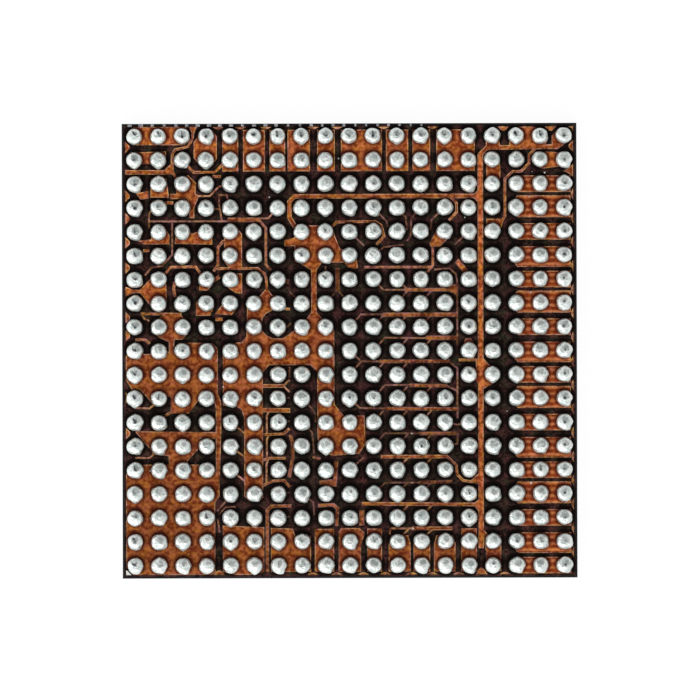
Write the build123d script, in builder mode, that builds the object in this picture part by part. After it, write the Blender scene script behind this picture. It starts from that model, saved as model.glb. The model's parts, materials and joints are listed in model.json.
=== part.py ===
from math import sqrt
import os

from build123d import *

# A bare wafer-level power management chip, solder balls up. The sawn silicon die carries a
# full square grid of solder balls, and copper nets join them on a black dielectric film.
# Origin: middle of the back face. +Z points out of the ball side, +Y to ball row A.

# Driving sizes in millimetres.
pitch = 0.40                # from ball to ball, both ways
edge_margin = 0.215         # outer ball centres to the sawn edge
back_film_t = 0.025         # protective film on the back
silicon_t = 0.325
dielectric_t = 0.010        # black film under the copper
copper_t = 0.010
ball_r = 0.132
ball_foot_r = 0.098         # land where a ball is wetted to the chip
ball_crown_r = 0.055        # flattened crown of a ball
ball_h = 0.200              # ball standing over the copper
street_w = 0.030            # bare silicon left by the saw round the dielectric
copper_inset = 0.030        # dielectric left outside the copper
hair_w = 0.030              # finest signal trace
trace_w = 0.044
strap_w = 0.060
bar_w = 0.076
bus_w = 0.092
foot_gap = 0.006            # from the end of a trace to the foot of the ball it serves
fill_base_w = 0.190         # copper let in between two outer balls: at the rim,
fill_tip_w = 0.050          # at its inner end,
deep_fill = 0.070           # and how far it reaches in, on the open sides
shallow_fill = 0.035        # and beside the power islands
ball_sides = 5              # flats round a ball
row_names = "ABCDEFGHJKLMNPRTUVW"

count = len(row_names)      # balls along each side of the square grid
middle = (count + 1) / 2
die_side = (count - 1) * pitch + 2 * edge_margin
film_side = die_side - 2 * street_w

silicon_z = back_film_t
film_z = silicon_z + silicon_t
copper_z = film_z + dielectric_t
ball_z = copper_z + copper_t
belly_h = sqrt(ball_r**2 - ball_foot_r**2)      # foot to the widest part of a ball

# The rim that the copper keeps to, counted in ball steps.
rim = (film_side / 2 - copper_inset) / pitch
west = middle - rim
east = middle + rim
north = middle - rim
south = middle + rim


def spot(column, row):
    # Places on the ball side are (column, row) in ball steps: column 1 is the leftmost,
    # row 1, called A, the topmost.
    return Vector((column - middle) * pitch, (middle - row) * pitch)


def plate(*corners):
    # A field of copper inside straight edges.
    Polygon(*[spot(*corner) for corner in corners])


def block(left, top, right, bottom):
    plate((left, top), (right, top), (right, bottom), (left, bottom))


def run(width, *stops):
    # A trace of even width, mitred at its bends. An end that lies on a ball stops short of
    # the ball's foot.
    path = [spot(*stop) for stop in stops]
    for end, inner in ((0, 1), (-1, -2)):
        if all(step == int(step) for step in stops[end]):
            inward = (path[inner] - path[end]).normalized()
            path[end] += inward * (ball_foot_r + foot_gap)
    one_side = []
    other_side = []
    for i, here in enumerate(path):
        comes = here - path[i - 1] if i > 0 else path[1] - here
        goes = path[i + 1] - here if i < len(path) - 1 else comes
        along = (comes.normalized() + goes.normalized()).normalized()
        reach = width / 2 / along.dot(comes.normalized())
        across = Vector(-along.Y, along.X) * reach
        one_side.append(here + across)
        other_side.append(here - across)
    Polygon(*one_side, *reversed(other_side))


def edge_fill(side, at, depth):
    # Copper let in at the rim between two outer balls, broad outside and narrow inside.
    base = fill_base_w / 2 / pitch
    tip = fill_tip_w / 2 / pitch
    reach = depth / pitch
    outline = ((-base, 0), (base, 0), (tip, reach), (-tip, reach))
    places = {
        "north": lambda along, inward: (at + along, north + inward),
        "south": lambda along, inward: (at + along, south - inward),
        "west": lambda along, inward: (west + inward, at + along),
        "east": lambda along, inward: (east - inward, at + along),
    }
    plate(*[places[side](*corner) for corner in outline])


copper_plane = Plane.XY.offset(copper_z)


# Films and silicon.

with BuildPart() as back_film:
    Box(die_side, die_side, back_film_t, align=(Align.CENTER, Align.CENTER, Align.MIN))

with BuildPart() as silicon_die:
    with BuildSketch(Plane.XY.offset(silicon_z)):
        Rectangle(die_side, die_side)
    extrude(amount=silicon_t)

with BuildPart() as dielectric_film:
    with BuildSketch(Plane.XY.offset(film_z)):
        Rectangle(film_side, film_side)
    extrude(amount=dielectric_t)


# Copper fill at the four rims.

with BuildPart() as copper_fill_north:
    with BuildSketch(copper_plane):
        for at in (4.5, 5.45, 6.5, 8.5, 9.5, 11.45, 13.5):
            edge_fill("north", at, shallow_fill)
        for at in (16.47, 18.45):
            edge_fill("north", at, deep_fill)
        plate((19.2, north), (east, north), (east, 0.82), (19.36, 0.7))
    extrude(amount=copper_t)

with BuildPart() as copper_fill_south:
    with BuildSketch(copper_plane):
        for at in (8.44, 9.44, 10.55, 11.47, 12.6, 13.44, 14.54, 16.5):
            edge_fill("south", at, shallow_fill)
        edge_fill("south", 4.5, deep_fill)
        plate((15.3, south), (15.76, south), (15.62, 19.18), (15.5, 19.1), (15.38, 19.18))
    extrude(amount=copper_t)

with BuildPart() as copper_fill_west:
    with BuildSketch(copper_plane):
        for at in (1.45, 3.5, 4.45, 5.45, 6.5, 8.6, 9.35, 13.45):
            edge_fill("west", at, deep_fill)
        edge_fill("west", 11.95, shallow_fill)
    extrude(amount=copper_t)

with BuildPart() as copper_fill_east:
    with BuildSketch(copper_plane):
        edge_fill("east", 1.43, deep_fill)
        plate((east, 2.2), (east, 2.72), (19.2, 2.58), (18.98, 2.48), (19.15, 2.4))
        for row in range(3, count):
            edge_fill("east", row + 0.45, shallow_fill)
    extrude(amount=copper_t)

with BuildPart() as corner_mark:
    with BuildSketch(copper_plane):
        plate((west, 19.18), (west + 0.22, south), (west, south))
    extrude(amount=copper_t)


# Power islands: three balls to each at the east rim, and columns at the north and south rims.

with BuildPart() as copper_islands_east:
    with BuildSketch(copper_plane):
        for row in range(3, count + 1):
            up, down = {0: (0.50, 0.42), 2: (0.36, 0.50)}.get(row % 4, (0.33, 0.36))
            plate(
                (16.76, row - 0.15), (17.05, row - up), (19.28, row - up),
                (19.28, row + down), (17.05, row + down), (16.76, row + 0.15),
            )
    extrude(amount=copper_t)

with BuildPart() as copper_islands_north:
    with BuildSketch(copper_plane):
        for left, right in (
            (4.68, 5.35), (5.55, 6.47), (6.66, 7.32), (7.42, 8.36), (8.66, 9.4),
            (9.66, 11.38), (11.55, 12.48), (12.66, 13.4), (13.66, 15.27),
        ):
            block(left, 0.73, right, 2.47)
        run(trace_w, (3, 2), (3.48, 2.5), (4.36, 2.5), (4.75, 2.12))
    extrude(amount=copper_t)

with BuildPart() as copper_islands_south:
    with BuildSketch(copper_plane):
        plate((6.68, 17.42), (7.6, 17.46), (7.7, 17.75), (8.36, 17.75), (8.36, 19.27), (6.68, 19.27))
        block(8.52, 17.47, 9.33, 19.27)
        plate(
            (9.52, 17.6), (9.62, 17.44), (10.4, 17.44), (10.62, 17.65), (10.46, 18.2),
            (10.46, 19.27), (9.52, 19.27),
        )
        block(10.72, 17.46, 11.34, 19.27)
        for left, right in ((11.62, 12.54), (12.66, 13.36), (13.52, 14.42)):
            plate(
                (left + 0.1, 17.75), (right - 0.1, 17.75), (right, 18.1),
                (right, 19.27), (left, 19.27), (left, 18.1),
            )
        block(14.66, 17.46, 15.32, 19.27)
        run(strap_w, (12.6, 17.46), (14.3, 17.46))
        run(hair_w, (11.66, 17.7), (11.7, 17.46), (12.7, 17.46))
        for column in (12, 13):
            run(hair_w, (column + 0.1, 17.85), (column + 0.45, 17.5))
    extrude(amount=copper_t)

with BuildPart() as copper_islands_row_b:
    with BuildSketch(copper_plane):
        plate(
            (0.74, 1.74), (0.85, 1.66), (2.32, 1.62), (2.32, 2.05), (2.15, 2.26), (1.85, 2.26),
            (1.7, 2.15), (1.3, 2.15), (1.15, 2.26), (0.85, 2.26), (0.74, 2.1),
        )
        plate((15.75, 1.75), (16.25, 1.75), (16.34, 2.3), (16.34, 2.75), (16.25, 3.25), (15.75, 3.25))
        plate((17.75, 1.8), (18.3, 1.66), (19.25, 1.75), (19.25, 2.25), (18.1, 2.38), (17.75, 2.22))
    extrude(amount=copper_t)


# Planes and straps of the north-west corner.

with BuildPart() as copper_plane_a1:
    with BuildSketch(copper_plane):
        plate(
            (0.74, 0.8), (0.95, 0.6), (3.15, 0.6), (3.26, 0.75), (3.26, 1.2), (3.1, 1.36),
            (0.95, 1.36), (0.74, 1.2),
        )
    extrude(amount=copper_t)

with BuildPart() as copper_plane_a4:
    with BuildSketch(copper_plane):
        plate(
            (3.62, 1.05), (3.8, 0.74), (4.3, 0.74), (4.45, 1.0), (4.45, 1.95), (4.22, 2.25),
            (3.78, 2.25), (3.48, 1.9), (3.48, 1.25),
        )
    extrude(amount=copper_t)

with BuildPart() as copper_strap_c3:
    with BuildSketch(copper_plane):
        run(bar_w, (west, 2.5), (2.6, 2.5))
        plate((2.2, 2.45), (2.55, 2.12), (2.55, 2.45))
        plate((3.28, 0.6), (3.62, 0.6), (3.46, 0.95))
        run(
            trace_w, (3.46, 0.8), (3.42, 1.12), (3.24, 1.42), (2.95, 1.5), (2.7, 1.55),
            (2.58, 1.75), (2.58, 2.45), (2.8, 2.85),
        )
        plate(
            (2.5, 3.4), (2.75, 3.4), (2.74, 2.78), (3.25, 2.62), (3.58, 2.95), (3.55, 3.4),
            (3.7, 3.5), (3.5, 4.0), (3.5, 4.42), (3.3, 4.42), (3.3, 4.1), (3.22, 3.62), (2.5, 3.62),
        )
        run(hair_w, (3.62, 3.5), (4.15, 3.5), (4.52, 3.12), (4.72, 3.05))
    extrude(amount=copper_t)

with BuildPart() as copper_islands_row_c:
    with BuildSketch(copper_plane):
        plate((1.05, 3.38), (1.58, 3.28), (1.58, 3.6), (1.25, 3.64))
        plate((1.68, 2.75), (2.34, 2.75), (2.44, 3.56), (1.66, 3.56))
        block(2.28, 3.72, 2.62, 3.85)
        block(4.28, 2.62, 4.62, 2.74)
    extrude(amount=copper_t)

with BuildPart() as copper_line_row_d:
    with BuildSketch(copper_plane):
        run(hair_w, (1.6, 4.56), (4.95, 4.56))
        run(hair_w, (1.72, 4.05), (1.6, 4.25), (1.6, 4.85))
        run(hair_w, (2.57, 4.52), (2.57, 5.95), (2.15, 6.42), (1.7, 6.5), (1.42, 6.82))
        run(bar_w, (4.9, 4.5), (6.25, 4.5))
        run(trace_w, (6.15, 4.45), (6.5, 4.85), (6.5, 6.38), (6.7, 6.62))
        run(hair_w, (6.2, 4.44), (6.6, 4.44), (7, 4))
        run(hair_w, (5, 4), (4.85, 3.45), (4.54, 3.45), (4.54, 3.9), (4.66, 4.56))
        run(hair_w, (4, 4), (4.58, 4.05))
    extrude(amount=copper_t)

with BuildPart() as copper_islands_row_e:
    with BuildSketch(copper_plane):
        plate(
            (1.12, 5.37), (1.68, 5.32), (1.75, 4.75), (2.25, 4.75), (2.46, 5.15), (2.46, 5.52),
            (1.4, 5.52),
        )
        plate(
            (2.68, 5.5), (2.75, 4.75), (3.25, 4.75), (3.38, 5.08), (3.62, 5.0), (3.77, 4.75),
            (4.25, 4.75), (4.25, 5.54),
        )
        block(1.35, 5.72, 1.62, 5.84)
    extrude(amount=copper_t)


# Nets of the west side.

with BuildPart() as copper_plane_g2:
    with BuildSketch(copper_plane):
        plate(
            (west, 7.3), (0.95, 7.42), (1.22, 7.42), (1.75, 6.85), (1.88, 6.75), (2.3, 6.75),
            (2.34, 7.95), (2.2, 8.25), (1.78, 8.25), (1.22, 7.56), (0.95, 7.56), (west, 7.7),
        )
        run(trace_w, (2.26, 6.78), (2.5, 6.48), (3.55, 6.46), (3.84, 6.86))
        plate((3.74, 6.75), (4.25, 6.75), (4.25, 7.24), (4.05, 7.46), (3.7, 7.46))
        run(strap_w, (4.15, 7.15), (4.55, 6.88))
    extrude(amount=copper_t)

with BuildPart() as copper_islands_row_h:
    with BuildSketch(copper_plane):
        plate((4.75, 6.75), (5.5, 6.75), (5.5, 7.6), (5.2, 7.56), (4.75, 7.22))
        run(trace_w, (2.66, 7.1), (2.63, 7.45), (2.7, 7.72))
        plate((3.56, 7.95), (3.76, 7.75), (4.25, 7.75), (4.25, 8.3), (4.15, 8.52), (3.56, 8.52))
        plate((4.74, 7.97), (4.86, 7.75), (5.25, 7.75), (5.25, 8.25), (5.05, 8.5), (4.35, 8.44))
        block(4.38, 8.6, 4.68, 8.74)
    extrude(amount=copper_t)

with BuildPart() as copper_plane_south_west:
    with BuildSketch(copper_plane):
        # Round balls 2J and 3J, with its tail into the plane below.
        run(trace_w, (1.02, 9.52), (1.42, 9.52), (1.62, 9.68))
        run(trace_w, (1.25, 8.43), (2.95, 8.45))
        run(hair_w, (1.28, 8.43), (1.4, 8.64), (1.6, 8.73))
        plate(
            (1.75, 8.8), (2.2, 8.46), (2.9, 8.46), (3.25, 8.8), (3.25, 9.2), (2.98, 9.52),
            (2.66, 9.52), (2.6, 10.2), (2.42, 10.2), (2.42, 9.62), (2.05, 9.45), (1.76, 9.22),
        )
        # Rows K to M.
        plate(
            (west, 10.2), (0.7, 10.12), (0.76, 9.76), (1.24, 9.76), (1.36, 10.12), (1.64, 10.12),
            (1.76, 9.76), (2.24, 9.76), (2.4, 10.05), (2.66, 10.05), (2.76, 9.78), (3.1, 9.64),
            (4.25, 9.66), (4.47, 9.9), (4.47, 11.75), (4.61, 12.15), (4.61, 13.4), (4.55, 15.2),
            (4.38, 15.2), (4.38, 12.4), (4.24, 11.75), (3.76, 11.75), (3.7, 12.0), (3.25, 12.62),
            (2.48, 12.62), (2.5, 11.95), (2.36, 11.9), (2.24, 12.26), (1.74, 12.26), (1.62, 12.08),
            (1.28, 11.7), (1.15, 11.6), (0.85, 11.6), (west, 11.2),
        )
        run(hair_w, (1.02, 12.38), (1.6, 12.4), (1.85, 12.2))
        run(trace_w, (2.2, 12.75), (2.6, 12.5))
        # Row P.
        plate(
            (0.98, 13.36), (4.45, 13.4), (4.45, 13.7), (3.74, 13.66), (3.66, 14.1), (3.2, 14.6),
            (3.2, 14.9), (2.4, 14.9), (2.4, 14.4), (1.76, 14.34), (1.62, 14.1), (1.25, 13.68),
        )
        run(hair_w, (1.0, 14.47), (1.6, 14.48), (1.85, 14.25))
        # Rows R to W.
        plate(
            (west, 15.2), (0.76, 14.76), (4.24, 14.76), (4.4, 15.1), (4.53, 15.1), (4.53, 16.1),
            (4.35, 16.35), (4.35, 19.27), (4.2, south), (0.9, south), (west, 19.08),
        )
    extrude(amount=copper_t)

with BuildPart() as copper_plane_south:
    with BuildSketch(copper_plane):
        plate(
            (4.66, 17.32), (6.4, 17.4), (6.4, 19.27), (5.8, south), (5.2, south), (4.66, 19.27),
        )
    extrude(amount=copper_t)

with BuildPart() as copper_straps_row_u:
    with BuildSketch(copper_plane):
        run(strap_w, (7.55, 16.5), (6.7, 16.52), (6.53, 16.7), (6.53, 19.27))
        run(strap_w, (8.66, 16.5), (9.3, 16.46), (9.48, 16.62), (9.43, 17.35))
        block(10.38, 16.68, 10.6, 17.34)
        plate(
            (9.34, 14.62), (9.52, 14.62), (9.45, 15.7), (9.3, 15.7), (8.72, 15.6), (8.72, 15.44),
            (9.3, 15.38),
        )
        run(hair_w, (4.42, 16.72), (4.78, 16.32))
        run(hair_w, (4.52, 16.84), (4.8, 16.55), (5.2, 16.54))
        run(strap_w, (7.5, 13.52), (7.6, 13.9), (7.6, 14.5), (7.45, 15.3))
        run(hair_w, (7.48, 10.68), (7.48, 11.12))
        run(hair_w, (4.45, 17.02), (4.52, 17.6))
        run(trace_w, (8.44, 14.46), (8.78, 14.54))
        run(hair_w, (10, 15), (10.6, 14.46))
    extrude(amount=copper_t)


# The supply net: the long bus, the feed along row C and the central planes.

with BuildPart() as copper_supply_net:
    with BuildSketch(copper_plane):
        # Bus between columns 15 and 16, with its heads round balls 16A, 16L and 16V.
        run(bus_w, (15.5, 1.8), (15.5, 18.3))
        run(bar_w, (15.5, 1.95), (15.5, 1.78), (15.78, 1.5), (18.7, 1.46))
        plate((15.74, 1.5), (15.74, 0.76), (16.26, 0.76), (16.34, 1.5))
        plate((16.72, 1.5), (16.72, 0.8), (17.15, 0.62), (17.72, 0.62), (18.26, 0.76), (18.26, 1.4))
        plate((18.5, 1.5), (18.5, 1.0), (18.74, 0.75), (19.25, 0.75), (19.25, 1.2), (18.72, 1.58))
        run(
            trace_w, (17.85, 1.5), (17.55, 1.8), (17.55, 2.15), (17.2, 2.5), (16.85, 2.5),
            (16.53, 2.82), (16.53, 4.35), (16.38, 4.62),
        )
        plate((15.75, 4.48), (16.5, 4.48), (16.25, 5.25), (15.75, 5.25))
        plate(
            (15.3, 10.45), (15.6, 10.32), (15.85, 10.6), (16.25, 10.75), (16.25, 11.22),
            (15.9, 11.45), (15.62, 11.62), (15.3, 11.3),
        )
        plate((15.5, 17.4), (15.8, 17.74), (16.34, 17.74), (16.34, 19.26), (15.7, 19.26), (15.7, 18.4))
        plate((15.5, 15.06), (15.02, 15.5), (15.5, 15.65))
        plate((15.5, 16.17), (15.15, 16.45), (15.5, 16.87))
        run(trace_w, (14.58, 10.4), (15.5, 10.4))
        # Feed along row C down to ball 8E, and its branches.
        run(bar_w, (15.5, 3.52), (7.7, 3.52), (7.49, 3.75), (7.49, 4.4), (7.74, 4.82))
        plate((15.15, 3.52), (15.42, 3.26), (15.5, 3.92))
        run(trace_w, (14.2, 3.52), (14.5, 3.82), (14.5, 4.2), (14.18, 4.54))
        # Plane round balls 8E to 10F, and the loop round 11E.
        plate(
            (7.72, 4.74), (9.28, 4.74), (9.4, 5.2), (9.62, 5.74), (10.26, 5.74), (10.36, 6.5),
            (10.25, 6.58), (9.95, 6.5), (9.8, 6.3), (8.85, 6.3), (8.62, 6.62), (8.4, 6.62),
            (7.98, 6.36), (7.7, 6.24), (7.7, 5.6), (7.28, 5.62), (7.28, 5.35), (7.7, 5.25),
        )
        run(
            trace_w, (9.2, 4.86), (9.48, 4.6), (11.1, 4.58), (11.35, 4.75), (11.46, 5.2),
            (11.14, 5.55),
        )
        # Neck down to the lower plane, which goes round the lone balls 7J, 7L and 8L.
        run(bus_w, (8.51, 6.5), (8.51, 8.5))
        plate(
            (6.52, 7.35), (6.76, 7.66), (7.25, 7.75), (7.25, 8.25), (6.75, 8.3), (6.5, 8.44),
            (6.34, 8.65), (6.34, 9.15), (6.5, 9.33), (6.75, 9.47), (6.75, 9.8), (5.5, 9.8),
            (5.5, 9.6), (5.67, 9.4), (5.72, 7.76), (6.24, 7.7),
        )
        run(trace_w, (7.1, 8.2), (7.5, 8.26))
        plate(
            (8.4, 8.38), (8.62, 8.38), (8.9, 8.7), (9.22, 8.78), (9.36, 9.15), (9.36, 9.8),
            (6.7, 9.8), (6.7, 9.47), (7.2, 9.47), (7.5, 9.28), (7.74, 9.05), (7.78, 8.76),
            (8.15, 8.72),
        )
        plate(
            (4.68, 9.76), (5.3, 9.64), (9.36, 9.6), (9.36, 12.25), (9.75, 12.72), (10.62, 12.72),
            (10.66, 13.9), (10.4, 14.32), (9.3, 14.4), (8.76, 14.26), (8.64, 13.6), (8.64, 10.88),
            (8.35, 10.6), (6.62, 10.6), (6.36, 10.9), (6.36, 16.14), (6.2, 16.3), (5.8, 16.3),
            (5.57, 16.1), (5.57, 12.8), (5.45, 12.45), (5.2, 12.3), (4.68, 12.3),
        )
        # Net round balls 5E and 5F, joined along row F.
        plate((4.75, 4.75), (5.25, 4.75), (5.5, 5.1), (5.5, 6.5), (4.95, 6.5), (4.75, 6.25))
        run(trace_w, (4.9, 5.4), (4.7, 5.4), (4.49, 5.65), (4.49, 6.4), (4.3, 6.66))
        run(trace_w, (4.45, 6.54), (6.15, 6.54), (6.44, 6.76), (6.52, 7.0), (6.52, 7.5))
        for row in (13, 14, 15):
            run(hair_w, (5, row), (5.7, row + 0.54))
        # Fingers of the comb west of column 8.
        run(strap_w, (6.3, 11.47), (7.25, 11.47))
        run(hair_w, (7.47, 11.22), (7.22, 11.47), (7.47, 11.72))
        run(bar_w, (6.3, 12.48), (7.5, 12.5))
        run(trace_w, (6.3, 13.52), (7.22, 13.48), (7.46, 13.26))
        run(trace_w, (6.3, 14.6), (6.6, 14.5), (7.3, 14.5))
        run(trace_w, (6.2, 15.72), (6.75, 15.46), (7.25, 15.44), (7.48, 15.72))
        run(hair_w, (6.62, 12.5), (6.52, 12.75), (6.52, 13.5))
        run(hair_w, (6.6, 13.5), (6.52, 13.72), (6.52, 14.5))
        run(hair_w, (6.6, 14.5), (6.5, 14.75), (6.5, 15.55))
        # Fingers that end on the bus.
        run(strap_w, (11.3, 14.45), (14.1, 14.45))
        run(trace_w, (14.05, 14.42), (14.46, 14.8), (14.5, 15.2), (14.75, 15.45), (15.15, 15.52))
        run(strap_w, (10.5, 16.42), (15.25, 16.46))
        for row in (15, 17):
            for column in (12, 13):
                run(hair_w, (column, row), (column + 0.42, row - 0.5))
    extrude(amount=copper_t)


# Signal nets between columns 10 and 15: bars with a tap to each ball beside them.

with BuildPart() as copper_signals_upper:
    with BuildSketch(copper_plane):
        run(hair_w, (13.55, 6.6), (14.2, 6.56), (14.46, 6.8), (14.52, 7.1), (14.52, 9.78))
        run(hair_w, (11, 7), (11.42, 7.45), (12.4, 7.45))
        run(strap_w, (12.3, 7.45), (14.5, 7.45))
        plate((14.2, 7.27), (14.5, 7.2), (14.5, 7.68), (14.12, 7.5))
        run(hair_w, (10, 9), (10.48, 8.48), (11.45, 8.48))
        run(bar_w, (11.4, 8.5), (14.5, 8.5))
        run(hair_w, (11, 10), (11.48, 9.46), (13.25, 9.48))
        run(bar_w, (13.2, 9.47), (14.5, 9.47))
        run(hair_w, (12, 7), (12.42, 7.42))
        for column, row in ((12, 8), (13, 8), (11, 9), (12, 9), (13, 9), (12, 10), (13, 10)):
            run(hair_w, (column, row), (column + 0.43, row - 0.5))
    extrude(amount=copper_t)

with BuildPart() as copper_signals_lower:
    with BuildSketch(copper_plane):
        run(hair_w, (10, 10), (10.48, 10.45), (11.3, 10.45))
        run(strap_w, (11.25, 10.45), (14.2, 10.45))
        run(hair_w, (14.1, 10.42), (14.52, 10.75), (14.52, 12.85))
        run(hair_w, (11, 12), (11.48, 11.44), (12.55, 11.45))
        run(strap_w, (12.5, 11.46), (14.1, 11.48))
        run(hair_w, (14.0, 11.45), (14.52, 11.7))
        run(hair_w, (10, 12), (10.42, 12.4), (11.55, 12.43))
        run(strap_w, (11.5, 12.43), (14.5, 12.46))
        run(hair_w, (10, 11), (10.5, 10.44))
        for column, row in ((11, 11), (12, 11), (12, 12), (13, 12), (11, 13), (12, 13), (13, 13)):
            run(hair_w, (column, row), (column + 0.43, row - 0.5))
    extrude(amount=copper_t)

with BuildPart() as copper_signals_row_p:
    with BuildSketch(copper_plane):
        run(hair_w, (11, 14), (11.48, 13.46), (12.95, 13.48))
        run(strap_w, (12.9, 13.48), (14.5, 13.48))
        run(hair_w, (14.52, 13.45), (14.52, 13.92), (14, 14))
        run(hair_w, (11, 16), (11.48, 15.54), (12.95, 15.54))
        run(strap_w, (12.9, 15.54), (14.3, 15.5))
        for column, row in ((12, 14), (13, 14), (12, 16), (13, 16)):
            run(hair_w, (column, row), (column + 0.43, row - 0.48))
        run(hair_w, (14, 13), (14.5, 13.12), (15, 13))
    extrude(amount=copper_t)

with BuildPart() as copper_ladder_row_f:
    with BuildSketch(copper_plane):
        run(trace_w, (10.62, 6.5), (13.5, 6.5))
        run(trace_w, (13.5, 5.5), (13.5, 6.42), (13.26, 6.72))
        plate((13.35, 5.5), (13.76, 4.75), (14.25, 4.75), (14.25, 5.2), (13.8, 5.65), (13.42, 5.65))
        run(bus_w, (14.5, 6.22), (14.88, 6.68))
        plate((14.75, 9.8), (14.85, 9.5), (15.1, 9.48), (15.25, 9.8), (15.25, 10.25), (14.75, 10.25))
    extrude(amount=copper_t)

with BuildPart() as copper_traces_row_e:
    with BuildSketch(copper_plane):
        run(hair_w, (11, 4), (11.55, 4.56), (11.62, 4.8))
        run(hair_w, (12, 4), (12.38, 4.42), (12.42, 4.95))
        run(hair_w, (13, 4), (12.6, 4.45), (12.57, 5.2), (12.42, 5.4))
        run(hair_w, (14, 4), (13.45, 4.52), (13.4, 4.95))
        run(hair_w, (10, 5), (10.62, 5.6))
        run(hair_w, (15, 5), (14.42, 5.58))
        run(hair_w, (11, 6), (11.45, 5.66), (12.28, 5.56))
    extrude(amount=copper_t)

with BuildPart() as copper_traces_row_h:
    with BuildSketch(copper_plane):
        run(bar_w, (9.5, 6.52), (9.5, 7.5))
        run(hair_w, (9, 8), (9.5, 7.45), (10, 8))
        run(hair_w, (9, 7), (9, 6.45))
        run(bar_w, (7, 7), (7.46, 7.1))
        run(hair_w, (7.44, 7.34), (7.52, 7.56), (8, 8))
        run(hair_w, (7, 9), (7.42, 8.98), (7.55, 8.82))
        run(hair_w, (7, 12), (7.48, 11.97))
        run(hair_w, (7, 13), (7.48, 12.95))
        run(hair_w, (7, 16), (7.48, 15.95))
        run(hair_w, (7, 17), (7.48, 16.95))
        run(hair_w, (8, 12), (8.44, 12.45), (8.56, 12.7), (8.56, 13.0))
        run(hair_w, (8, 13), (8.42, 13.42), (8.5, 14.3))
        run(hair_w, (8, 16), (8.46, 16.36), (8.5, 16.9))
    extrude(amount=copper_t)

copper_nets = {
    "copper_fill_north": copper_fill_north,
    "copper_fill_south": copper_fill_south,
    "copper_fill_west": copper_fill_west,
    "copper_fill_east": copper_fill_east,
    "copper_islands_east": copper_islands_east,
    "copper_islands_north": copper_islands_north,
    "copper_islands_south": copper_islands_south,
    "copper_islands_row_b": copper_islands_row_b,
    "copper_plane_a1": copper_plane_a1,
    "copper_plane_a4": copper_plane_a4,
    "copper_strap_c3": copper_strap_c3,
    "copper_islands_row_c": copper_islands_row_c,
    "copper_line_row_d": copper_line_row_d,
    "copper_islands_row_e": copper_islands_row_e,
    "copper_plane_g2": copper_plane_g2,
    "copper_islands_row_h": copper_islands_row_h,
    "copper_plane_south_west": copper_plane_south_west,
    "copper_plane_south": copper_plane_south,
    "copper_straps_row_u": copper_straps_row_u,
    "copper_supply_net": copper_supply_net,
    "copper_signals_upper": copper_signals_upper,
    "copper_signals_lower": copper_signals_lower,
    "copper_signals_row_p": copper_signals_row_p,
    "copper_ladder_row_f": copper_ladder_row_f,
    "copper_traces_row_e": copper_traces_row_e,
    "copper_traces_row_h": copper_traces_row_h,
}


# Solder balls.

copper_solids = [solid for net in copper_nets.values() for solid in net.solids()]
copper_boxes = [solid.bounding_box() for solid in copper_solids]


def stands_on_copper(place):
    # True where copper lies under the middle of a ball; the other balls reach the film.
    under = place + Vector(0, 0, copper_z + copper_t / 2)
    return any(
        box.min.X < under.X < box.max.X and box.min.Y < under.Y < box.max.Y
        and solid.is_inside(under)
        for solid, box in zip(copper_solids, copper_boxes)
    )


def ring(z, radius):
    corners = PolarLocations(radius, ball_sides)
    return [corner.position + Vector(0, 0, z) for corner in corners.local_locations]


def solder_ball(foot_z):
    # Flat-sided ball: foot, belly at its widest and a flattened crown, with its foot at foot_z.
    foot = ring(foot_z, ball_foot_r)
    belly = ring(ball_z + belly_h, ball_r)
    crown = ring(ball_z + ball_h, ball_crown_r)
    sides = [Face(Wire.make_polygon(foot)), Face(Wire.make_polygon(crown))]
    for low, high in ((foot, belly), (belly, crown)):
        for i in range(ball_sides):
            sides.append(Face(Wire.make_polygon([low[i - 1], low[i], high[i], high[i - 1]])))
    return Solid(Shell(sides))


ball_on_copper = solder_ball(ball_z)
ball_on_film = solder_ball(copper_z)

ball_rows = {}
for row, letter in enumerate(row_names, start=1):
    places = [spot(column, row) for column in range(1, count + 1)]
    on_copper = [place for place in places if stands_on_copper(place)]
    on_film = [place for place in places if place not in on_copper]
    with BuildPart() as ball_row:
        for ball, seats in ((ball_on_copper, on_copper), (ball_on_film, on_film)):
            if seats:
                with Locations(*seats):
                    add(ball)
    ball_rows["balls_row_" + letter.lower()] = ball_row


os.makedirs("parts", exist_ok=True)
pieces = {
    "back_film": back_film,
    "silicon_die": silicon_die,
    "dielectric_film": dielectric_film,
    "corner_mark": corner_mark,
    **copper_nets,
    **ball_rows,
}
for name, piece in pieces.items():
    piece.part.label = name
    export_step(piece.part, f"parts/{name}.step")
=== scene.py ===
import json
import math
import random

import bpy
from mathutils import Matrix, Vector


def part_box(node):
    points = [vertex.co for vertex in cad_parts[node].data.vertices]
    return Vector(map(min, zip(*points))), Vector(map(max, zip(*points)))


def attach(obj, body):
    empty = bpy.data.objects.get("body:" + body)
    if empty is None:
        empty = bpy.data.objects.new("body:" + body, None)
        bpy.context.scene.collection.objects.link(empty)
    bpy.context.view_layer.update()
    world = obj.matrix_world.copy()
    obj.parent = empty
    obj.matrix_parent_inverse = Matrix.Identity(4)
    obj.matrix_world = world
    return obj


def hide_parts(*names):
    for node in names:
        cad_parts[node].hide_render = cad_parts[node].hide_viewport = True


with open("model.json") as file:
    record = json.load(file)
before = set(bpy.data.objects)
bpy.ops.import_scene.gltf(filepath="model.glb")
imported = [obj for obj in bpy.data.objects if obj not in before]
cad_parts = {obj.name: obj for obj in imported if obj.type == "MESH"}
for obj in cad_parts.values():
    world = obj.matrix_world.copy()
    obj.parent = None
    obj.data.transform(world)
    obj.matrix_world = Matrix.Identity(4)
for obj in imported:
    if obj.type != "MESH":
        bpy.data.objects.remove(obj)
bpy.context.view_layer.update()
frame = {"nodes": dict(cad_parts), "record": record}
nodes = frame["nodes"]
mm = 0.001
white = (1, 1, 1, 1)

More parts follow.
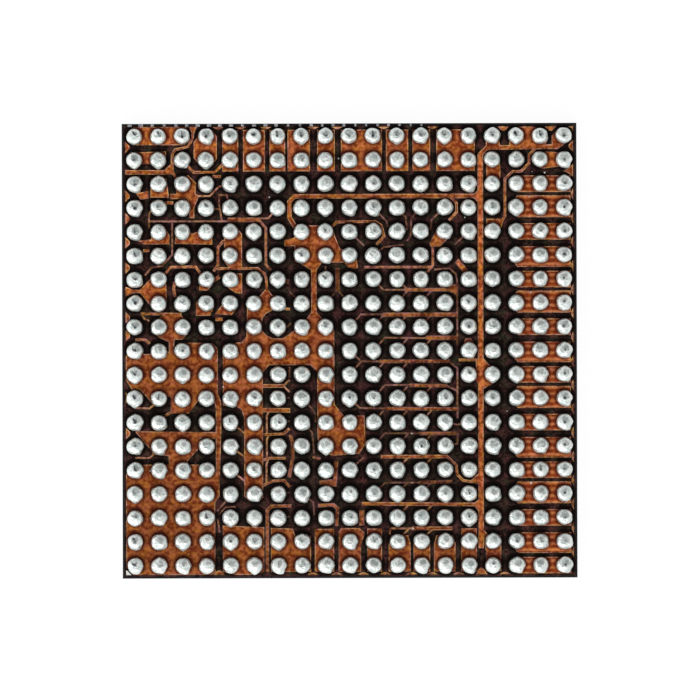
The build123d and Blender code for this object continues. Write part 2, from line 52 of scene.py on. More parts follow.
# Sizes that the frame gives.
mounts = {mount["name"]: mount for mount in frame["record"]["mounts"]}
rowNames = "abcdefghjklmnprtuvw"
lastBall = len(rowNames)
middleBall = (lastBall + 1) / 2
pitch = mounts["ball_array"]["dims"]["spacing_x_mm"] * mm / (lastBall - 1)
ballTip = mounts["ball_array"]["pos_m"][2]
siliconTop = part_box("silicon_die")[1].z
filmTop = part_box("dielectric_film")[1].z
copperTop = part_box("copper_supply_net")[1].z
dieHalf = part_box("silicon_die")[1].x
copperNodes = sorted(name for name in nodes if name.startswith("copper"))


# Small helpers for modelling by hand.

def deselect():
    if bpy.context.object and bpy.context.object.mode != "OBJECT":
        bpy.ops.object.mode_set(mode="OBJECT")
    bpy.ops.object.select_all(action="DESELECT")


def pick(*objects):
    deselect()
    for ob in objects:
        ob.select_set(True)
    bpy.context.view_layer.objects.active = objects[0]


def chooseFaces(ob, faceTest):
    # In edit mode: selects the faces that pass the test, and nothing else.
    bpy.ops.mesh.select_mode(type="FACE")
    bpy.ops.mesh.select_all(action="DESELECT")
    bpy.ops.object.mode_set(mode="OBJECT")
    for face in ob.data.polygons:
        face.select = faceTest(face)
    bpy.ops.object.mode_set(mode="EDIT")


def chooseVerts(ob, vertTest):
    bpy.ops.mesh.select_mode(type="VERT")
    bpy.ops.mesh.select_all(action="DESELECT")
    bpy.ops.object.mode_set(mode="OBJECT")
    for vert in ob.data.vertices:
        vert.select = vertTest(vert.co)
    bpy.ops.object.mode_set(mode="EDIT")


def joinAs(name, parts):
    pick(*parts)
    bpy.ops.object.join()
    piece = bpy.context.object
    piece.name = name
    return piece


def place(column, row, z):
    return ((column - middleBall) * pitch, (middleBall - row) * pitch, z)


def adopt(piece, slotName, *replaced):
    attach(piece, "root")
    if replaced:
        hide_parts(*replaced)


# Short forms for shader nodes.

def addNode(tree, kind, inputs=None, **settings):
    node = tree.nodes.new(kind)
    for key, value in settings.items():
        setattr(node, key, value)
    for key, value in (inputs or {}).items():
        if isinstance(value, bpy.types.NodeSocket):
            tree.links.new(value, node.inputs[key])
        else:
            node.inputs[key].default_value = value
    return node


def calc(tree, operation, *values):
    node = addNode(tree, "ShaderNodeMath", dict(enumerate(values)), operation=operation)
    return node.outputs[0]


def vectorCalc(tree, operation, *values):
    return addNode(tree, "ShaderNodeVectorMath", dict(enumerate(values)), operation=operation)


def scaled(tree, vector, scale):
    node = addNode(tree, "ShaderNodeVectorMath", {0: vector, "Scale": scale}, operation="SCALE")
    return node.outputs[0]


def remap(tree, value, fromMin, fromMax, toMin=0.0, toMax=1.0, kind="LINEAR"):
    ends = {"From Min": fromMin, "From Max": fromMax, "To Min": toMin, "To Max": toMax}
    node = addNode(tree, "ShaderNodeMapRange", {"Value": value, **ends}, interpolation_type=kind)
    return node.outputs["Result"]


def mixColor(tree, fac, low, high, mode="MIX"):
    ends = {"Factor": fac, 6: low, 7: high}
    return addNode(tree, "ShaderNodeMix", ends, data_type="RGBA", blend_type=mode).outputs[2]


def emptyTree(owner, outputKind):
    owner.use_nodes = True
    tree = owner.node_tree
    tree.nodes.clear()
    return tree, tree.nodes.new(outputKind).inputs["Surface"]


# Shader groups shared by the finishes.

def newGroup(name, inputs, outputs):
    group = bpy.data.node_groups.new(name, "ShaderNodeTree")
    for side, sockets in (("INPUT", inputs), ("OUTPUT", outputs)):
        for label, kind in sockets.items():
            group.interface.new_socket(label, in_out=side, socket_type="NodeSocket" + kind)
    start = group.nodes.new("NodeGroupInput")
    end = group.nodes.new("NodeGroupOutput")
    return group, start.outputs, end.inputs


def useGroup(tree, group, where, settings):
    node = addNode(tree, "ShaderNodeGroup", {"Vector": where, **settings}, node_tree=group)
    return node.outputs


# The rings of painted shade round the balls lie a little north of them, in ball steps, and their
# edge wobbles.
shadeRingShape = {"north": 0.035, "wobbleScale": 3.1, "wobbleDetail": 2.0}


def ballShadeRingGroup():
    # A soft ring mask round the nearest ball, where painted shade is laid. Inner and Outer are
    # radii in ball steps.
    group, start, end = newGroup(
        "ballShadeRing", {"Vector": "Vector", "Wobble": "Float", "Inner": "Float", "Outer": "Float"},
        {"Ring": "Float"},
    )
    steps = scaled(group, start["Vector"], 1 / pitch)
    shift = (0, -shadeRingShape["north"], 0)
    flat = vectorCalc(group, "MULTIPLY_ADD", steps, (1, 1, 0), shift).outputs[0]
    wrapped = vectorCalc(group, "WRAP", flat, (0.5, 0.5, 0.5), (-0.5, -0.5, -0.5)).outputs[0]
    length = vectorCalc(group, "LENGTH", wrapped).outputs["Value"]
    noise = addNode(
        group, "ShaderNodeTexNoise",
        {"Vector": flat, "Scale": shadeRingShape["wobbleScale"], "Detail": shadeRingShape["wobbleDetail"]},
    )
    shifted = calc(group, "SUBTRACT", noise.outputs["Fac"], 0.5)
    wobble = calc(group, "MULTIPLY_ADD", shifted, start["Wobble"], length)
    ring = remap(group, wobble, start["Inner"], start["Outer"], 1.0, 0.0, "SMOOTHSTEP")
    group.links.new(ring, end["Ring"])
    return group


mottleDetail = {"Cloud": 2.0, "Grain": 1.0}


def mottleGroup():
    # Two colours blended by a cloud and a finer grain, both sized in millimetres. A small
    # Spread parts the colours sharply.
    group, start, end = newGroup(
        "mottle",
        {"Vector": "Vector", "Cloud": "Float", "Grain": "Float", "Spread": "Float",
         "Low": "Color", "High": "Color"},
        {"Color": "Color", "Fac": "Float"},
    )
    inMm = scaled(group, start["Vector"], 1 / mm)
    layers = []
    for label, detail in mottleDetail.items():
        scale = calc(group, "DIVIDE", 1.0, start[label])
        noise = addNode(
            group, "ShaderNodeTexNoise", {"Vector": inMm, "Scale": scale, "Detail": detail},
        )
        layers.append(noise.outputs["Fac"])
    both = calc(group, "ADD", *layers)
    low = calc(group, "SUBTRACT", 1.0, start["Spread"])
    high = calc(group, "ADD", 1.0, start["Spread"])
    fac = remap(group, both, low, high)
    group.links.new(mixColor(group, fac, start["Low"], start["High"]), end["Color"])
    group.links.new(fac, end["Fac"])
    return group


ballShadeRing = ballShadeRingGroup()
mottle = mottleGroup()


# Finishes.

def newMaterial(name, look):
    material = bpy.data.materials.new(name)
    tree, surface = emptyTree(material, "ShaderNodeOutputMaterial")
    shader = tree.nodes.new("ShaderNodeBsdfPrincipled")
    tree.links.new(shader.outputs[0], surface)
    for key, socket in (
        ("metallic", "Metallic"), ("roughness", "Roughness"), ("specular", "Specular IOR Level"),
    ):
        if key in look:
            shader.inputs[socket].default_value = look[key]
    where = tree.nodes.new("ShaderNodeTexCoord").outputs["Object"]
    return material, tree, shader, where


def bump(tree, shader, height, look):
    node = addNode(
        tree, "ShaderNodeBump",
        {"Height": height, "Strength": look["bump"], "Distance": look["bumpDepth"]},
    )
    tree.links.new(node.outputs[0], shader.inputs["Normal"])


def solderFinish(look):
    # Matt reflowed solder, with a dark spot on some crowns.
    material, tree, shader, where = newMaterial("solderMetal", look)
    skin = useGroup(tree, mottle, where, look["skin"])
    spottingMark = addNode(tree, "ShaderNodeAttribute", attribute_name="spottingMark").outputs["Fac"]
    ragged = calc(tree, "MULTIPLY_ADD", skin["Fac"], look["darkSpotRagged"], spottingMark)
    darkSpot = remap(tree, ragged, look["darkSpotFrom"], look["darkSpotTo"])
    marked = mixColor(tree, darkSpot, skin["Color"], look["darkSpot"])
    tree.links.new(marked, shader.inputs["Base Color"])
    bump(tree, shader, skin["Fac"], look)
    return material


def bandedColor(tree, along, cloud, colour, look):
    # Bright bands across an island, level with its row of balls and to both sides of it.
    perStep = 2 * math.pi / look["bandStep"]
    steps = calc(tree, "MULTIPLY", along, 1 / pitch)
    folded = calc(tree, "WRAP", steps, 0.5, -0.5)
    turns = calc(tree, "MULTIPLY_ADD", folded, perStep, look["bandShift"] * perStep)
    wave = calc(tree, "COSINE", turns)
    worn = calc(tree, "MULTIPLY_ADD", cloud, look["bandWear"], wave)
    band = remap(tree, worn, look["bandFrom"], 1.0 + look["bandWear"])
    return mixColor(tree, band, colour, look["crest"])


def busGain(tree, across, bus):
    # Brighter along the middle of the supply bus, in ball steps.
    aside = calc(tree, "SUBTRACT", across, bus["east"] * pitch)
    off = calc(tree, "ABSOLUTE", aside)
    return remap(tree, off, bus["from"] * pitch, bus["to"] * pitch, bus["gain"], 1.0)


def copperFinish(name, look):
    # Copper under a thin clear film: darker beside the balls, where painted shade is mixed in,
    # and duller towards row W.
    material, tree, shader, where = newMaterial(name, look)
    level = addNode(tree, "ShaderNodeSeparateXYZ", {0: where}).outputs
    skin = useGroup(tree, mottle, where, look["skin"])
    colour = skin["Color"]
    if "crest" in look:
        colour = bandedColor(tree, level["Y"], skin["Fac"], colour, look)
    hue = useGroup(tree, mottle, where, look["hue"])
    colour = mixColor(tree, 1.0, colour, hue["Color"], "MULTIPLY")
    # Painted shade: the colour is mixed towards the shade colour in a soft ring round each ball.
    ring = useGroup(tree, ballShadeRing, where, look["ring"])
    shaded = mixColor(tree, ring["Ring"], colour, look["shade"])
    fade = remap(tree, level["Y"], -dieHalf, dieHalf, look["fade"], 1.0)
    if "bus" in look:
        fade = calc(tree, "MULTIPLY", fade, busGain(tree, level["X"], look["bus"]))
    tone = addNode(tree, "ShaderNodeAttribute", attribute_name="tone").outputs["Fac"]
    fade = calc(tree, "MULTIPLY", fade, tone)
    tree.links.new(scaled(tree, shaded, fade), shader.inputs["Base Color"])
    bump(tree, shader, skin["Fac"], look)
    return material


def filmFinish(look):
    # Near-black polymer, speckled plum and green where it is far from the balls; close round them
    # it is painted plain black as shade.
    material, tree, shader, where = newMaterial("blackDielectric", look)
    speck = useGroup(tree, mottle, where, look["speck"])
    hue = useGroup(tree, mottle, where, look["hue"])
    tinted = mixColor(tree, speck["Fac"], look["black"], hue["Color"])
    ring = useGroup(tree, ballShadeRing, where, look["ring"])
    # Painted shade: plain black in a ring round each ball.
    shaded = mixColor(tree, ring["Ring"], tinted, look["black"])
    tree.links.new(shaded, shader.inputs["Base Color"])
    bump(tree, shader, speck["Fac"], look)
    return material


def siliconFinish(look):
    # Sawn silicon: the blade leaves fine level lines on the side walls.
    material, tree, shader, where = newMaterial("sawnSilicon", look)
    skin = useGroup(tree, mottle, where, look["skin"])
    squashed = addNode(
        tree, "ShaderNodeMapping", {"Vector": where, "Scale": (1, 1, look["lineSquash"])},
    )
    lines = addNode(
        tree, "ShaderNodeTexNoise",
        {"Vector": squashed.outputs[0], "Scale": look["lineScale"], "Detail": look["lineDetail"]},
    ).outputs["Fac"]
    lined = mixColor(tree, lines, skin["Color"], look["line"])
    tree.links.new(lined, shader.inputs["Base Color"])
    bump(tree, shader, lines, look)
    return material


def plainFinish(name, look):
    material, tree, shader, where = newMaterial(name, look)
    skin = useGroup(tree, mottle, where, look["skin"])
    tree.links.new(skin["Color"], shader.inputs["Base Color"])
    bump(tree, shader, skin["Fac"], look)
    return material


solderLook = {
    "skin": {
        "Cloud": 0.10, "Grain": 0.06, "Spread": 0.24,
        "Low": (0.58, 0.65, 0.63, 1), "High": (0.88, 0.90, 0.87, 1),
    },
    "darkSpot": (0.045, 0.055, 0.070, 1), "darkSpotFrom": 0.50, "darkSpotTo": 0.95, "darkSpotRagged": 0.35,
    "metallic": 0.65, "roughness": 0.35, "bump": 0.45, "bumpDepth": 0.02 * mm,
}
planeLook = {
    "skin": {
        "Cloud": 0.13, "Grain": 0.06, "Spread": 0.20,
        "Low": (0.30, 0.048, 0.010, 1), "High": (0.82, 0.245, 0.073, 1),
    },
    "hue": {
        "Cloud": 0.15, "Grain": 0.07, "Spread": 0.25,
        "Low": (0.98, 1.07, 0.5, 1), "High": (1.0, 0.94, 1.3, 1),
    },
    # Painted shade round the balls: its colour, and the ring's wobble and radii in ball steps.
    "shade": (0.10, 0.012, 0.004, 1), "ring": {"Wobble": 0.10, "Inner": 0.34, "Outer": 0.51},
    "fade": 0.70,
    "metallic": 0.55, "roughness": 0.45, "specular": 0.2, "bump": 0.25, "bumpDepth": 0.01 * mm,
}
islandLook = dict(
    planeLook, fade=0.95,
    skin=dict(
        planeLook["skin"], Cloud=0.12, Low=(0.25, 0.034, 0.006, 1), High=(0.42, 0.070, 0.012, 1),
    ),
    hue=dict(planeLook["hue"], Low=(1.0, 1.03, 0.7, 1), High=(1.0, 0.95, 1.2, 1)),
    crest=(0.90, 0.305, 0.115, 1), bandStep=0.27, bandShift=0.1, bandWear=0.6, bandFrom=-0.2,
)
supplyLook = dict(planeLook, bus={"east": 5.5, "from": 0.10, "to": 0.16, "gain": 1.45})
traceLook = dict(
    planeLook, fade=0.85,
    skin=dict(
        planeLook["skin"], Cloud=0.3, Low=(0.18, 0.036, 0.014, 1), High=(0.72, 0.23, 0.078, 1),
    ),
)
# Painted highlight: the rims are coloured paler than the fields, for light caught along the
# copper's edges. They carry painted shade round the balls too.
planeRimHighlightLook = dict(
    planeLook, shade=(0.11, 0.025, 0.014, 1), ring={"Wobble": 0.12, "Inner": 0.34, "Outer": 0.44},
    skin=dict(
        planeLook["skin"], Cloud=0.22, Low=(0.28, 0.085, 0.045, 1), High=(0.95, 0.50, 0.30, 1),
    ),
)
traceRimHighlightLook = dict(
    planeRimHighlightLook, fade=0.9,
    skin=dict(
        planeLook["skin"], Cloud=0.3, Low=(0.12, 0.042, 0.034, 1), High=(0.48, 0.24, 0.19, 1),
    ),
)
filmLook = {
    "speck": {"Cloud": 0.10, "Grain": 0.035, "Spread": 0.25},
    "hue": {
        "Cloud": 0.45, "Grain": 0.09, "Spread": 0.2,
        "Low": (0.040, 0.038, 0.020, 1), "High": (0.115, 0.036, 0.036, 1),
    },
    # black is the polymer's own colour, and also the painted shade round the balls.
    "black": (0.0045, 0.0012, 0.0008, 1), "ring": {"Wobble": 0.08, "Inner": 0.42, "Outer": 0.58},
    "roughness": 0.4, "specular": 0.08, "bump": 0.3, "bumpDepth": 0.005 * mm,
}
siliconLook = {
    "skin": {
        "Cloud": 0.3, "Grain": 0.02, "Spread": 0.2,
        "Low": (0.003, 0.003, 0.004, 1), "High": (0.012, 0.012, 0.015, 1),
    },
    "line": (0.028, 0.028, 0.032, 1), "lineSquash": 60, "lineScale": 1400.0, "lineDetail": 3.0,
    "roughness": 0.4, "specular": 0.12, "bump": 0.4, "bumpDepth": 0.01 * mm,
}
backLook = {
    "skin": {
        "Cloud": 0.5, "Grain": 0.03, "Spread": 0.2,
        "Low": (0.008, 0.008, 0.008, 1), "High": (0.020, 0.020, 0.020, 1),
    },
    "metallic": 0.0, "roughness": 0.7, "bump": 0.3, "bumpDepth": 0.01 * mm,
}
markLook = {
    "skin": {
        "Cloud": 0.1, "Grain": 0.02, "Spread": 0.2,
        "Low": (0.60, 0.58, 0.53, 1), "High": (0.95, 0.95, 0.92, 1),
    },
    "metallic": 0.1, "roughness": 0.5, "bump": 0.2, "bumpDepth": 0.01 * mm,
}
padLook = {
    "skin": {
        "Cloud": 0.05, "Grain": 0.012, "Spread": 0.25,
        "Low": (0.16, 0.16, 0.19, 1), "High": (0.72, 0.72, 0.75, 1),
    },
    "metallic": 0.5, "roughness": 0.5, "bump": 0.2, "bumpDepth": 0.01 * mm,
}

solderMetal = solderFinish(solderLook)
planeCopper = copperFinish("planeCopper", planeLook)
planeRimHighlight = copperFinish("planeRimHighlight", planeRimHighlightLook)
islandCopper = copperFinish("islandCopper", islandLook)
supplyCopper = copperFinish("supplyCopper", supplyLook)
traceCopper = copperFinish("traceCopper", traceLook)
traceRimHighlight = copperFinish("traceRimHighlight", traceRimHighlightLook)
blackDielectric = filmFinish(filmLook)
sawnSilicon = siliconFinish(siliconLook)
backFilm = plainFinish("backFilm", backLook)
paleMark = plainFinish("paleMark", markLook)
padMetal = plainFinish("padMetal", padLook)

for nodeName, finish in (
    ("silicon_die", sawnSilicon), ("dielectric_film", blackDielectric),
    ("back_film", backFilm), ("corner_mark", paleMark),
):
    nodes[nodeName].data.materials.clear()
    nodes[nodeName].data.materials.append(finish)
print("finishes made")


# Copper nets: a reworked copy of each node, with a rim round a slightly dished field. The rim is
# coloured paler than the field as a painted highlight along the copper's edges.

copperNet = {
    "rimWidth": 0.0135 * mm, "dish": 0.0012 * mm, "weld": 0.00002 * mm, "faceUp": 0.9,
    # Finishes of rim (painted edge highlight) and field by words in the node's name. The rest
    # look like planes.
    "finishes": (
        (("signals", "traces", "ladder", "line", "straps_row_u"), (traceRimHighlight, traceCopper)),
        (("islands_east",), (planeRimHighlight, islandCopper)),
        (("supply",), (planeRimHighlight, supplyCopper)),
    ),
    # Nets drawn brighter or duller than the rest, by a factor on their colour. The first fit
    # counts.
    "tones": {
        "ladder": 1.32, "line": 1.32, "fill_east": 0.85, "fill": 1.05, "plane_g2": 1.2,
        "islands_row": 1.12, "islands_north": 1.05, "plane_a": 1.15, "signals_lower": 1.15,
        "plane_south_west": 0.92, "plane_south": 1.05, "signals_row_p": 0.78,
        "traces_row_e": 0.85, "traces_row_h": 0.55,
    },
}


def netFinishes(nodeName):
    for words, finishes in copperNet["finishes"]:
        if any(word in nodeName for word in words):
            return finishes
    return planeRimHighlight, planeCopper


def reworkCopper(nodeName):
    pick(nodes[nodeName])
    bpy.ops.object.duplicate()
    piece = bpy.context.object
    piece.parent = None
    piece.name = nodeName.replace("copper_", "net_")
    piece.data.materials.clear()
    for finish in netFinishes(nodeName):
        piece.data.materials.append(finish)
    bpy.ops.object.mode_set(mode="EDIT")
    bpy.ops.mesh.select_all(action="SELECT")
    bpy.ops.mesh.remove_doubles(threshold=copperNet["weld"])
    chooseFaces(piece, lambda face: face.normal.z > copperNet["faceUp"])
    # The inset leaves a band along every edge for the painted edge highlight; the field inside
    # goes to slot 1.
    bpy.ops.mesh.inset(
        thickness=copperNet["rimWidth"], depth=-copperNet["dish"],
        use_boundary=True, use_even_offset=True,
    )
    piece.active_material_index = 1
    bpy.ops.object.material_slot_assign()
    bpy.ops.object.mode_set(mode="OBJECT")
    tone = next((value for word, value in copperNet["tones"].items() if word in nodeName), 1.0)
    toneValues = piece.data.attributes.new("tone", "FLOAT", "POINT").data
    toneValues.foreach_set("value", [tone] * len(toneValues))
    adopt(piece, "copper", nodeName)


for nodeName in copperNodes:
    reworkCopper(nodeName)
print("copper nets made:", len(copperNodes))


# Solder balls: a few moulds, each lumpy in its own way, copied along the rows.

ballSize = {
    "beltR": 0.1388 * mm, "footR": 0.106 * mm, "segments": 12, "rings": 7, "moulds": 9,
    "overCopper": 0.98, "sizeSpread": 0.02, "cutNear": 1e-9,
    # Tests on a point: distance from the axis, and cosine of the angle to a direction.
    "offAxis": 1e-6, "inGore": 0.99, "inDrip": 0.95,
    "shoulder": 1.09, "shoulderFrom": 0.3, "shoulderTo": 0.6, "uneven": 0.068,
    "drip": 0.022 * mm, "dripPush": (0.5, 1.0), "dripTop": 0.05 * mm,
    "dripTurn": -62, "dripSwing": 32, "dripSkips": 3,
    # Shares of the crown's height over the belt, and of the foot's depth under it.
    "crownFrom": 0.75, "peakFrom": 0.999, "roundFrom": 0.99,
    "crownSpread": 0.016 * mm, "peakShift": (0.010 * mm, 0.012 * mm), "swell": 1.0,
}
# Dark spots on the crowns of every ball on the north, west and east sides, and of half of the
# others.
spotting = {
    "outer": (0.75, 1.0), "inner": (0.0, 0.0, 0.0, 0.3, 0.5, 0.7), "crownFrom": 0.75,
    "reach": 0.062 * mm, "streakTurn": (90, 140), "streakReach": 1.4, "streakFade": 0.3,
    "inStreak": 0.96,
}
chance = random.Random(19)


def widen(factor, upright=1):
    bpy.ops.transform.resize(value=(factor, factor, upright), center_override=(0, 0, 0))


def offAxis(co):
    return math.hypot(co.x, co.y) > ballSize["offAxis"]


def towards(co, turn):
    return math.cos(math.atan2(co.y, co.x) - turn)


def makeMould(number):
    deselect()
    height = ballTip - copperTop
    beltH = math.sqrt(ballSize["beltR"] ** 2 - ballSize["footR"] ** 2)
    bpy.ops.mesh.primitive_uv_sphere_add(
        segments=ballSize["segments"], ring_count=ballSize["rings"], radius=ballSize["beltR"],
        location=(0, 0, 0),
    )
    mould = bpy.context.object
    mould.name = "ballMould.%d" % number
    bpy.ops.object.mode_set(mode="EDIT")
    bpy.ops.mesh.select_all(action="SELECT")
    bpy.ops.mesh.bisect(
        plane_co=(0, 0, -beltH), plane_no=(0, 0, 1), use_fill=True, clear_inner=True,
        threshold=ballSize["cutNear"],
    )
    chooseVerts(mould, lambda co: co.z > 0)
    widen(1, (height - beltH) / ballSize["beltR"])
    low, high = ballSize["shoulderFrom"] * height, ballSize["shoulderTo"] * height
    chooseVerts(mould, lambda co: low < co.z < high)
    widen(ballSize["shoulder"])
    # Uneven outline, one gore at a time.
    for gore in range(ballSize["segments"]):
        turn = 2 * math.pi * gore / ballSize["segments"]
        chooseVerts(mould, lambda co: offAxis(co) and towards(co, turn) > ballSize["inGore"])
        widen(1 + chance.uniform(-1, 1) * ballSize["uneven"])
    # A drip low on one side of some of them.
    if number % ballSize["dripSkips"]:
        swing = chance.uniform(-ballSize["dripSwing"], ballSize["dripSwing"])
        turn = math.radians(ballSize["dripTurn"] + swing)
        chooseVerts(mould, lambda co: (
            co.z < ballSize["dripTop"] and offAxis(co) and towards(co, turn) > ballSize["inDrip"]
        ))
        push = ballSize["drip"] * chance.uniform(*ballSize["dripPush"])
        bpy.ops.transform.translate(value=(math.cos(turn) * push, math.sin(turn) * push, 0))
    crown = max(vert.co.z for vert in mould.data.vertices)
    spread = ballSize["crownSpread"]
    chooseVerts(mould, lambda co: co.z > ballSize["crownFrom"] * crown)
    bpy.ops.transform.translate(
        value=(chance.uniform(-spread, spread), chance.uniform(-spread, spread), 0),
    )
    chooseVerts(mould, lambda co: co.z > ballSize["peakFrom"] * crown)
    bpy.ops.transform.translate(value=(*ballSize["peakShift"], 0))
    # Rounded between the lumps, down to the foot.
    chooseVerts(mould, lambda co: co.z > -ballSize["roundFrom"] * beltH)
    bpy.ops.mesh.subdivide(number_cuts=1, smoothness=ballSize["swell"])
    bpy.ops.mesh.select_all(action="SELECT")
    bpy.ops.transform.translate(value=(0, 0, beltH))
    bpy.ops.object.mode_set(mode="OBJECT")
    bpy.ops.object.shade_smooth()
    mould.data.materials.append(solderMetal)
    mould.data.attributes.new("spottingMark", "FLOAT", "POINT")
    return mould


def seatHeight(node, x):
    return min(vert.co.z for vert in node.data.vertices if abs(vert.co.x - x) < pitch / 2)


def spottingStrength(column, row):
    if column in (1, lastBall) or row == 1:
        return chance.uniform(*spotting["outer"])
    return chance.choice(spotting["inner"])


def markCrown(ball, column, strength):
    # A dark spot that fades away from the peak, drawn out in a streak on all but the last column.
    peak = max(ball.data.vertices, key=lambda vert: vert.co.z).co
    streak = math.radians(chance.uniform(*spotting["streakTurn"]))
    for vert, mark in zip(ball.data.vertices, ball.data.attributes["spottingMark"].data):
        if vert.co.z < spotting["crownFrom"] * peak.z:
            continue
        away = math.hypot(vert.co.x - peak.x, vert.co.y - peak.y) / spotting["reach"]
        mark.value = strength * max(0, 1 - away)
        inLine = towards(vert.co, streak) > spotting["inStreak"]
        if column < lastBall and inLine and away < spotting["streakReach"]:
            mark.value = strength * (1 - spotting["streakFade"] * away)


def placeBall(mould, node, column, row):
    x, y = place(column, row, 0)[:2]
    z = seatHeight(node, x)
    onCopper = z > (filmTop + copperTop) / 2
    ball = mould.copy()
    ball.data = mould.data.copy()
    bpy.context.collection.objects.link(ball)
    size = 1 + chance.uniform(-1, 1) * ballSize["sizeSpread"]
    if onCopper:
        size *= ballSize["overCopper"]
    ball.location = (x, y, z)
    ball.scale = (size, size, (ballTip - z) / (ballTip - copperTop))
    markCrown(ball, column, spottingStrength(column, row))
    return ball


def makeBallRow(row, letter):
    nodeName = "balls_row_" + letter
    columns = range(1, lastBall + 1)
    balls = [placeBall(chance.choice(moulds), nodes[nodeName], column, row) for column in columns]
    pick(*balls)
    bpy.ops.object.transform_apply(location=True, rotation=True, scale=True)
    piece = joinAs("solderBalls." + letter, balls)
    pick(piece)
    bpy.ops.object.origin_set(type="ORIGIN_CURSOR")
    adopt(piece, "solder", nodeName)


moulds = [makeMould(number) for number in range(ballSize["moulds"])]
for row, letter in enumerate(rowNames, start=1):
    makeBallRow(row, letter)
for mould in moulds:
    bpy.data.objects.remove(mould)
print("solder balls made")


# Splashes of solder left on the face, and the test pads that the saw spared in the top street.
# The pale flakes on the copper are partly solder splashes and partly painted highlights beside
# the balls.

splashes = {
    "flat": 0.45, "rough": 0.0022 * mm, "sink": 0.15, "stretch": (0.8, 1.2), "seeds": 1000,
    # Column, row and radius in millimetres.
    "onFilm": (
        (9.55, 1.93, 0.013), (18.2, 2.55, 0.017), (17.67, 2.5, 0.009), (6.65, 3.55, 0.012),
        (19.33, 9.4, 0.011), (4.7, 11.5, 0.014), (14.85, 4.42, 0.011), (16.6, 12.55, 0.008),
    ),
    # Pale flakes on the copper: partly splashes, partly painted highlights at the balls' sides.
    "onCopper": (
        (17.55, 3.56, 0.011), (18.1, 5.3, 0.009), (17.6, 7.57, 0.015), (18.4, 8.1, 0.009),
        (12.6, 13.48, 0.012), (12.6, 15.54, 0.010), (12.65, 17.46, 0.013), (17.6, 15.56, 0.020),
        (18.05, 12.3, 0.010), (18.05, 13.3, 0.010), (1.62, 15.02, 0.009), (1.62, 17.02, 0.009),
    ),
}


def makeSplash(ground, column, row, radius):
    deselect()
    spot = place(column, row, ground + radius * splashes["flat"] * (1 - splashes["sink"]))
    bpy.ops.mesh.primitive_ico_sphere_add(subdivisions=2, radius=radius, location=spot)
    flake = bpy.context.object
    bpy.ops.object.mode_set(mode="EDIT")
    bpy.ops.mesh.select_all(action="SELECT")
    seed = chance.randrange(splashes["seeds"])
    bpy.ops.transform.vertex_random(offset=splashes["rough"], seed=seed)
    bpy.ops.object.mode_set(mode="OBJECT")
    across = chance.uniform(*splashes["stretch"])
    along = chance.uniform(*splashes["stretch"])
    flake.scale = (across, along, splashes["flat"])
    bpy.ops.object.transform_apply(location=True, rotation=True, scale=True)
    bpy.ops.object.shade_smooth()
    flake.data.materials.append(paleMark)
    return flake


def makeSplashes():
    flakes = []
    for ground, key in ((filmTop, "onFilm"), (copperTop, "onCopper")):
        for column, row, size in splashes[key]:
            flakes.append(makeSplash(ground, column, row, size * mm))
    adopt(joinAs("solderSplashes", flakes), "solder")


testPads = {
    # From one column to another, with the step in ball steps.
    "from": 0.8, "to": 13.2, "step": 0.474, "stepSpread": (0.94, 1.06),
    "width": 0.076 * mm, "widthSpread": (0.6, 1.2), "narrowing": 0.6,
    "depth": 0.050 * mm, "depthSpread": (0.75, 1.0),
    "fromEdge": 0.028 * mm, "jitter": 0.001 * mm, "proud": 0.001 * mm, "bevel": 0.0006 * mm,
}


def makeTestPads():
    pads = []
    height = filmTop - siliconTop + testPads["proud"]
    column = testPads["from"]
    while column < testPads["to"]:
        deselect()
        x = place(column, 1, 0)[0]
        y = dieHalf - testPads["fromEdge"] + chance.uniform(-1, 1) * testPads["jitter"]
        bpy.ops.mesh.primitive_cube_add(size=1, location=(x, y, siliconTop + height / 2))
        pad = bpy.context.object
        done = (column - testPads["from"]) / (testPads["to"] - testPads["from"])
        width = testPads["width"] * chance.uniform(*testPads["widthSpread"])
        depth = testPads["depth"] * chance.uniform(*testPads["depthSpread"])
        pad.scale = (width * (1 - testPads["narrowing"] * done), depth, height)
        bpy.ops.object.transform_apply(location=True, rotation=True, scale=True)
        bpy.ops.object.mode_set(mode="EDIT")
        bpy.ops.mesh.select_all(action="SELECT")
        bpy.ops.mesh.bevel(offset=testPads["bevel"], segments=1)
        bpy.ops.object.mode_set(mode="OBJECT")
        pad.data.materials.append(padMetal)
        pads.append(pad)
        column += testPads["step"] * chance.uniform(*testPads["stepSpread"])
    adopt(joinAs("testPads", pads), "corner_mark")


makeSplashes()
makeTestPads()
print("splashes and test pads made")


# Floor, light and camera.

stage = {
    "floorSize": 400 * mm, "floorDrop": 0.002 * mm, "floorColor": (0.97, 0.97, 0.97, 1),
    "glow": 1.03, "whiteShare": 0.92,
}


def makeFloor():
    # Mostly plain white to the camera and in gloss. All other light meets paper.
    deselect()
    bpy.ops.mesh.primitive_plane_add(
        size=stage["floorSize"], location=(0, 0, -stage["floorDrop"]),
    )
    floor = bpy.context.object
    floor.name = "paleFloor"
    material = bpy.data.materials.new("palePaper")
    tree, surface = emptyTree(material, "ShaderNodeOutputMaterial")
    paper = addNode(tree, "ShaderNodeBsdfDiffuse", {"Color": stage["floorColor"]})
    glow = addNode(tree, "ShaderNodeEmission", {"Color": white, "Strength": stage["glow"]})
    ray = tree.nodes.new("ShaderNodeLightPath").outputs
    mirrored = calc(tree, "MAXIMUM", ray["Is Glossy Ray"], ray["Is Transmission Ray"])
    looked = calc(tree, "MAXIMUM", ray["Is Camera Ray"], mirrored)
    seen = calc(tree, "MULTIPLY", looked, stage["whiteShare"])
    both = addNode(
        tree, "ShaderNodeMixShader", {0: seen, 1: paper.outputs[0], 2: glow.outputs[0]},
    )
    tree.links.new(both.outputs[0], surface)
    floor.data.materials.append(material)


skyLook = {
    "level": 1.0, "slope": 0.06, "brightSide": (-0.75, -0.65, 0.0),
    "darkAxis": (0.15, 0.50, 0.85), "darkFrom": 0.70, "darkTo": 0.92, "darkShare": 0.06,
}


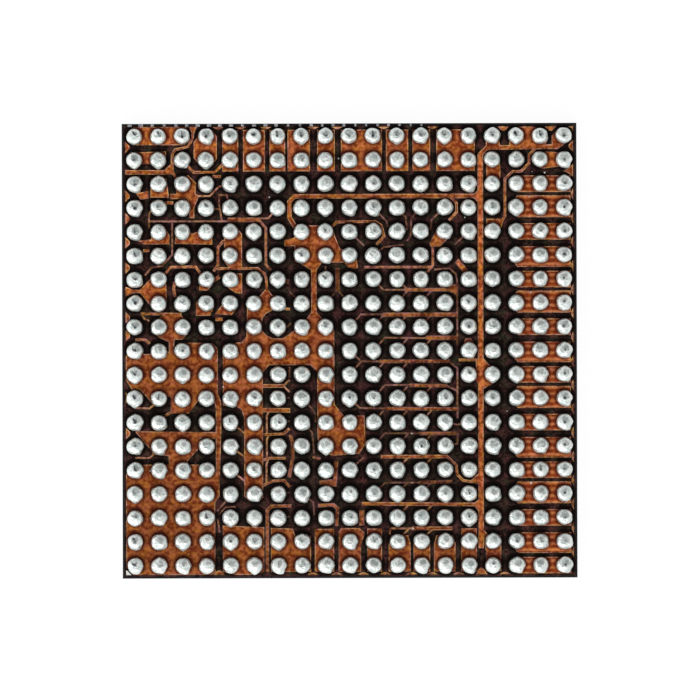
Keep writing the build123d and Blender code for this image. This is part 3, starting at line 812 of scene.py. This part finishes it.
def makeSky():
    # A white tent, brighter to the south-west, with a dim opening a little north of overhead.
    world = bpy.data.worlds.new("lightTent")
    bpy.context.scene.world = world
    tree, surface = emptyTree(world, "ShaderNodeOutputWorld")
    direction = tree.nodes.new("ShaderNodeTexCoord").outputs["Generated"]
    axis = vectorCalc(tree, "NORMALIZE", skyLook["darkAxis"]).outputs[0]
    facing = vectorCalc(tree, "DOT_PRODUCT", direction, axis).outputs["Value"]
    opening = remap(
        tree, facing, skyLook["darkFrom"], skyLook["darkTo"], 1.0, skyLook["darkShare"],
        "SMOOTHSTEP",
    )
    side = vectorCalc(tree, "DOT_PRODUCT", direction, skyLook["brightSide"]).outputs["Value"]
    slope = calc(tree, "MULTIPLY_ADD", side, skyLook["slope"], skyLook["level"])
    level = calc(tree, "MULTIPLY", slope, opening)
    tent = addNode(tree, "ShaderNodeBackground", {"Color": white, "Strength": level})
    tree.links.new(tent.outputs[0], surface)


lamps = {
    "west": {"turn": 203, "fromTop": 68, "away": 110 * mm, "size": 62 * mm, "power": 0.034},
    "south": {"turn": 268, "fromTop": 50, "away": 110 * mm, "size": 48 * mm, "power": 0.024},
}


def makeLamp(name, lamp):
    data = bpy.data.lights.new(name, "AREA")
    data.shape = "DISK"
    data.size = lamp["size"]
    data.energy = lamp["power"]
    ob = bpy.data.objects.new(name, data)
    bpy.context.collection.objects.link(ob)
    turn = math.radians(lamp["turn"])
    lean = math.radians(lamp["fromTop"])
    ob.location = (
        lamp["away"] * math.sin(lean) * math.cos(turn),
        lamp["away"] * math.sin(lean) * math.sin(turn),
        lamp["away"] * math.cos(lean),
    )
    ob.rotation_euler = (-ob.location).to_track_quat("-Z", "Y").to_euler()


shot = {
    "height": 160 * mm, "pictureWidth": 11.745 * mm, "sensor": 36,
    "shiftRight": 0.007 * mm, "shiftUp": 0.012 * mm, "roll": 0.15,
    "near": 1 * mm, "far": 1000 * mm,
}


def makeCamera():
    data = bpy.data.cameras.new("overhead")
    data.sensor_width = shot["sensor"]
    data.lens = shot["sensor"] * (shot["height"] - filmTop) / shot["pictureWidth"]
    data.clip_start = shot["near"]
    data.clip_end = shot["far"]
    camera = bpy.data.objects.new("overhead", data)
    bpy.context.collection.objects.link(camera)
    camera.location = (shot["shiftRight"], shot["shiftUp"], shot["height"])
    camera.rotation_euler = (0, 0, math.radians(-shot["roll"]))
    bpy.context.scene.camera = camera


makeFloor()
makeSky()
for lampName, lamp in lamps.items():
    makeLamp(lampName, lamp)
makeCamera()
bpy.context.scene.view_settings.view_transform = "Standard"
print("stage made")
